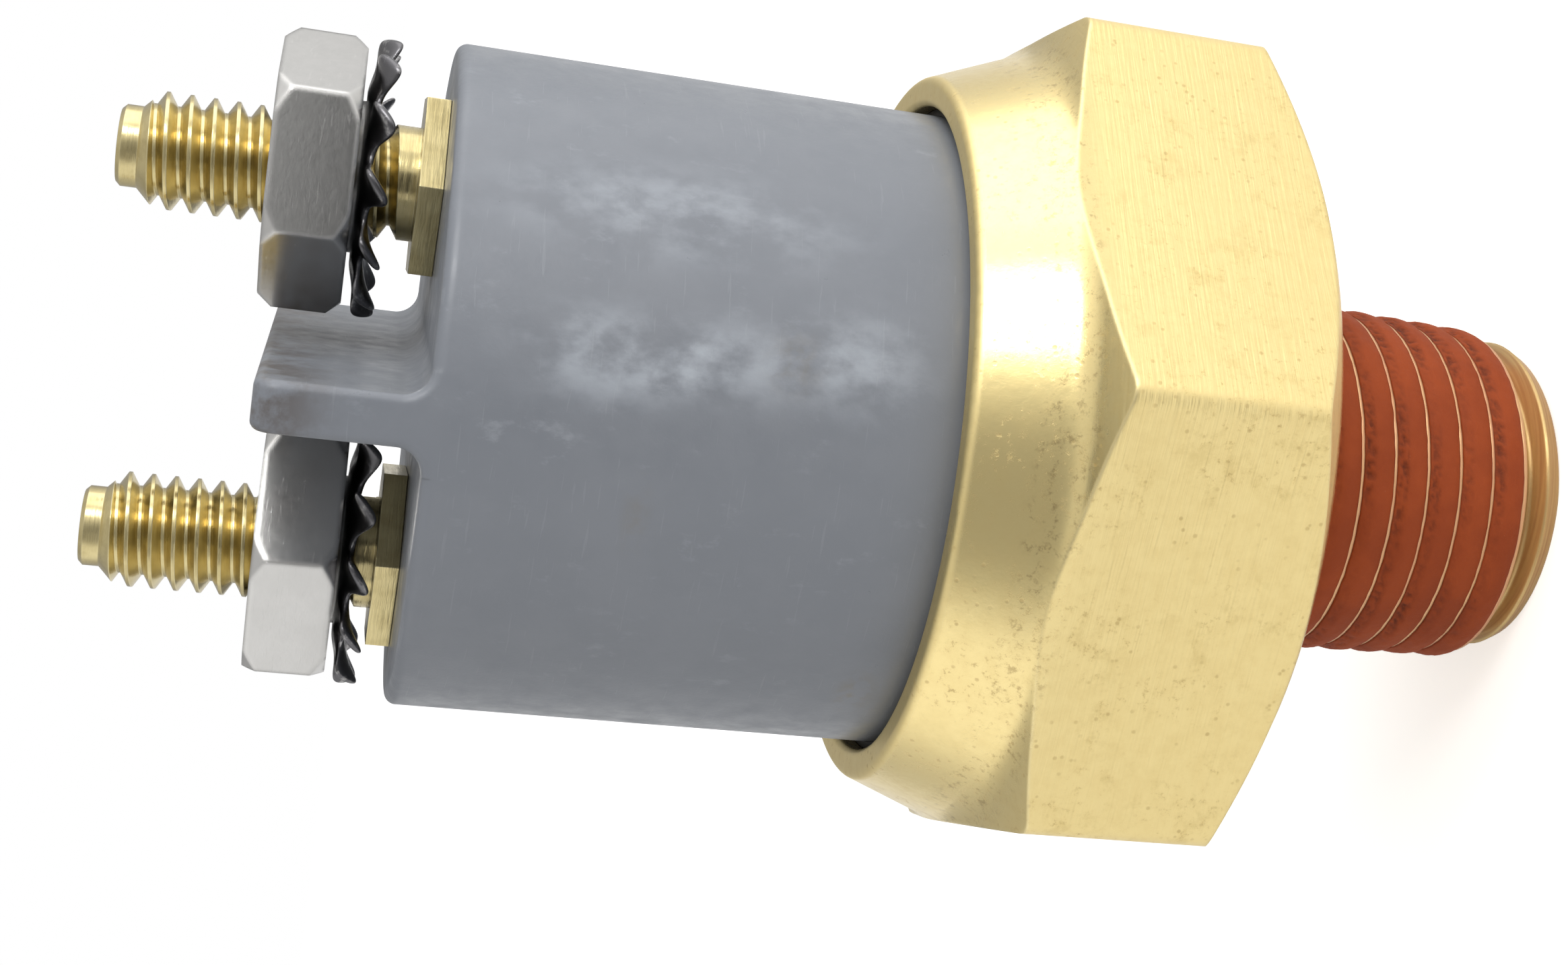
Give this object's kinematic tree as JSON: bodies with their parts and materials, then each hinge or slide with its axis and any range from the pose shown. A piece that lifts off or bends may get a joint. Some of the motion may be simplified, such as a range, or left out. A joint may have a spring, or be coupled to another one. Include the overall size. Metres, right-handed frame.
{
  "type": "pressure switch",
  "caption": "Diaphragm pressure switch: brass hexagon base with a male taper pipe thread, moulded terminal housing with a barrier rib, and threaded stud terminals with captive-washer nuts.",
  "frame": {"origin": "on the axis, at the hexagon's underside where the pipe thread starts", "axes": "+Z along the axis from the pipe thread to the terminals; X through the two terminal studs; Y along the barrier rib"},
  "size_m": [0.0332, 0.0332, 0.055],
  "materials": {
    "brass_body": "satin, turned and sawn, with small pits and stains",
    "sealant": "dried paste, matte and lumpy",
    "housing_plastic": "satin moulded plastic, blue-grey",
    "black_rubber": "matte",
    "diaphragm_film": "smooth film",
    "inner_steel": "turned",
    "spring_steel": "drawn wire and sheet",
    "brass_inner": "turned",
    "plunger_plastic": "satin",
    "contact_brass": "stamped sheet",
    "contact_silver": "satin silver",
    "stud_brass": "machined thread",
    "plated_nut": "satin nickel plate",
    "washer_steel": "dark spring steel"
  },
  "bodies": {
    "switch_body": {"hex_body": "brass_body", "thread_sealant": "sealant", "switch_housing": "housing_plastic", "collar_seal": "black_rubber", "base_o_ring": "black_rubber", "diaphragm": "diaphragm_film", "support_ring": "inner_steel", "range_spring": "spring_steel", "calibration_ring": "brass_inner", "fixed_contact_left": "contact_brass", "fixed_contact_right": "contact_brass", "fixed_tips": "contact_silver", "terminal_stud_left": "stud_brass", "terminal_stud_right": "stud_brass"},
    "piston": {"pressure_plate": "inner_steel", "plunger": "plunger_plastic", "bridge_clip": "spring_steel", "contact_spring": "spring_steel"},
    "bridge": {"contact_bridge": "contact_brass", "bridge_tips": "contact_silver"},
    "washer_left": {"tooth_washer_left": "washer_steel"},
    "nut_left": {"terminal_nut_left": "plated_nut"},
    "washer_right": {"tooth_washer_right": "washer_steel"},
    "nut_right": {"terminal_nut_right": "plated_nut"}
  },
  "joints": [
    {"name": "piston_travel", "type": "slide", "parent": "switch_body", "child": "piston", "axis": [0, 0, 1], "range_m": [0, 0.00068], "stiffness_N_per_m": 14000, "springref_m": -0.005, "deforming": ["range_spring"]},
    {"name": "bridge_overtravel", "type": "slide", "parent": "piston", "child": "bridge", "axis": [0, 0, 1], "range_m": [-0.0003, 0], "stiffness_N_per_m": 1500, "springref_m": 0.0004, "deforming": ["contact_spring"]},
    {"name": "washer_left_lift", "type": "slide", "parent": "switch_body", "child": "washer_left", "axis": [0, 0, 1], "range_m": [-0.0006, 0.00476]},
    {"name": "nut_left_spin", "type": "hinge", "parent": "washer_left", "child": "nut_left", "pos_m": [-0.00688, 0, 0.034], "axis": [0, 0, 1], "range_deg": [-272.2, 2160.1]},
    {"name": "washer_right_lift", "type": "slide", "parent": "switch_body", "child": "washer_right", "axis": [0, 0, 1], "range_m": [-0.00145, 0.00397]},
    {"name": "nut_right_spin", "type": "hinge", "parent": "washer_right", "child": "nut_right", "pos_m": [0.00688, 0, 0.034], "axis": [0, 0, 1], "range_deg": [-657.7, 1800.1]}
  ],
  "couplings": [
    {"joint": "nut_left_spin", "follows": "washer_left_lift", "rad_per_m": 7915.8},
    {"joint": "nut_right_spin", "follows": "washer_right_lift", "rad_per_m": 7915.8}
  ]
}
